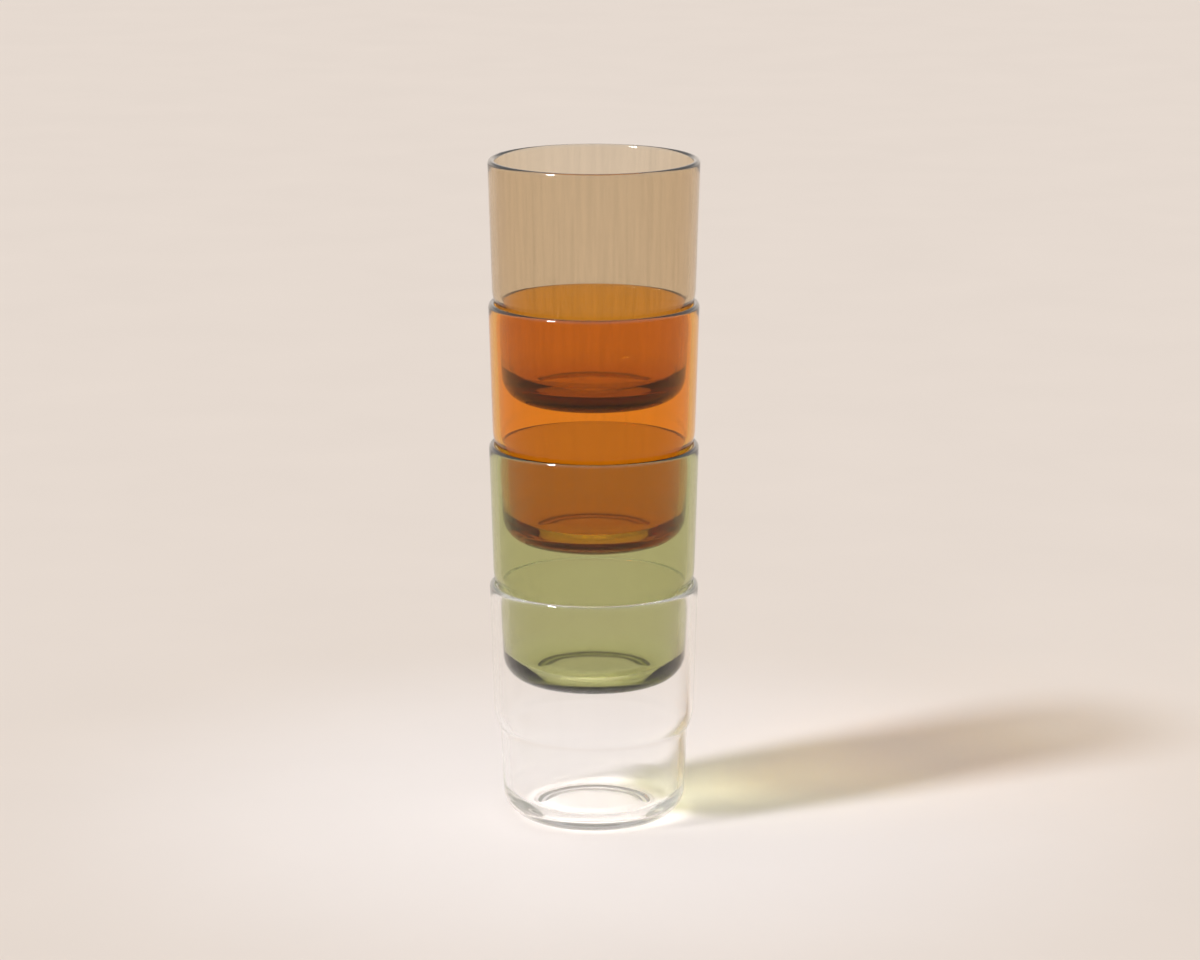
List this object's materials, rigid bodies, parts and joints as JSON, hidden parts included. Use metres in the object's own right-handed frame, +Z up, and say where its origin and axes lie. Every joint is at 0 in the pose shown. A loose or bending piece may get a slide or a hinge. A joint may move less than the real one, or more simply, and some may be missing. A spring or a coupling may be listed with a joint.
{
  "type": "stacking cortado glass",
  "caption": "Column of stepped tumblers in smoke, amber, green and clear glass; each rounded shoulder seats on the lip below it, and each glass lifts straight out.",
  "frame": {"origin": "centre of the bottom glass's foot ring, on the surface that the column stands on", "axes": "+Z up along the common axis of the glasses; X and Y are free, because every glass is round"},
  "size_m": [0.066, 0.066, 0.211],
  "materials": {
    "clear_glass": "gloss",
    "green_glass": "gloss",
    "amber_glass": "gloss",
    "smoke_glass": "gloss"
  },
  "bodies": {
    "clear_glass": {"clear_glass": "clear_glass"},
    "green_glass": {"green_glass": "green_glass"},
    "amber_glass": {"amber_glass": "amber_glass"},
    "smoke_glass": {"smoke_glass": "smoke_glass"}
  },
  "joints": [
    {"name": "green_lift", "type": "slide", "parent": "clear_glass", "child": "green_glass", "axis": [0, 0, 1], "range_m": [0, 0.04]},
    {"name": "amber_lift", "type": "slide", "parent": "green_glass", "child": "amber_glass", "axis": [0, 0, 1], "range_m": [0, 0.04]},
    {"name": "smoke_lift", "type": "slide", "parent": "amber_glass", "child": "smoke_glass", "axis": [0, 0, 1], "range_m": [0, 0.04]}
  ]
}
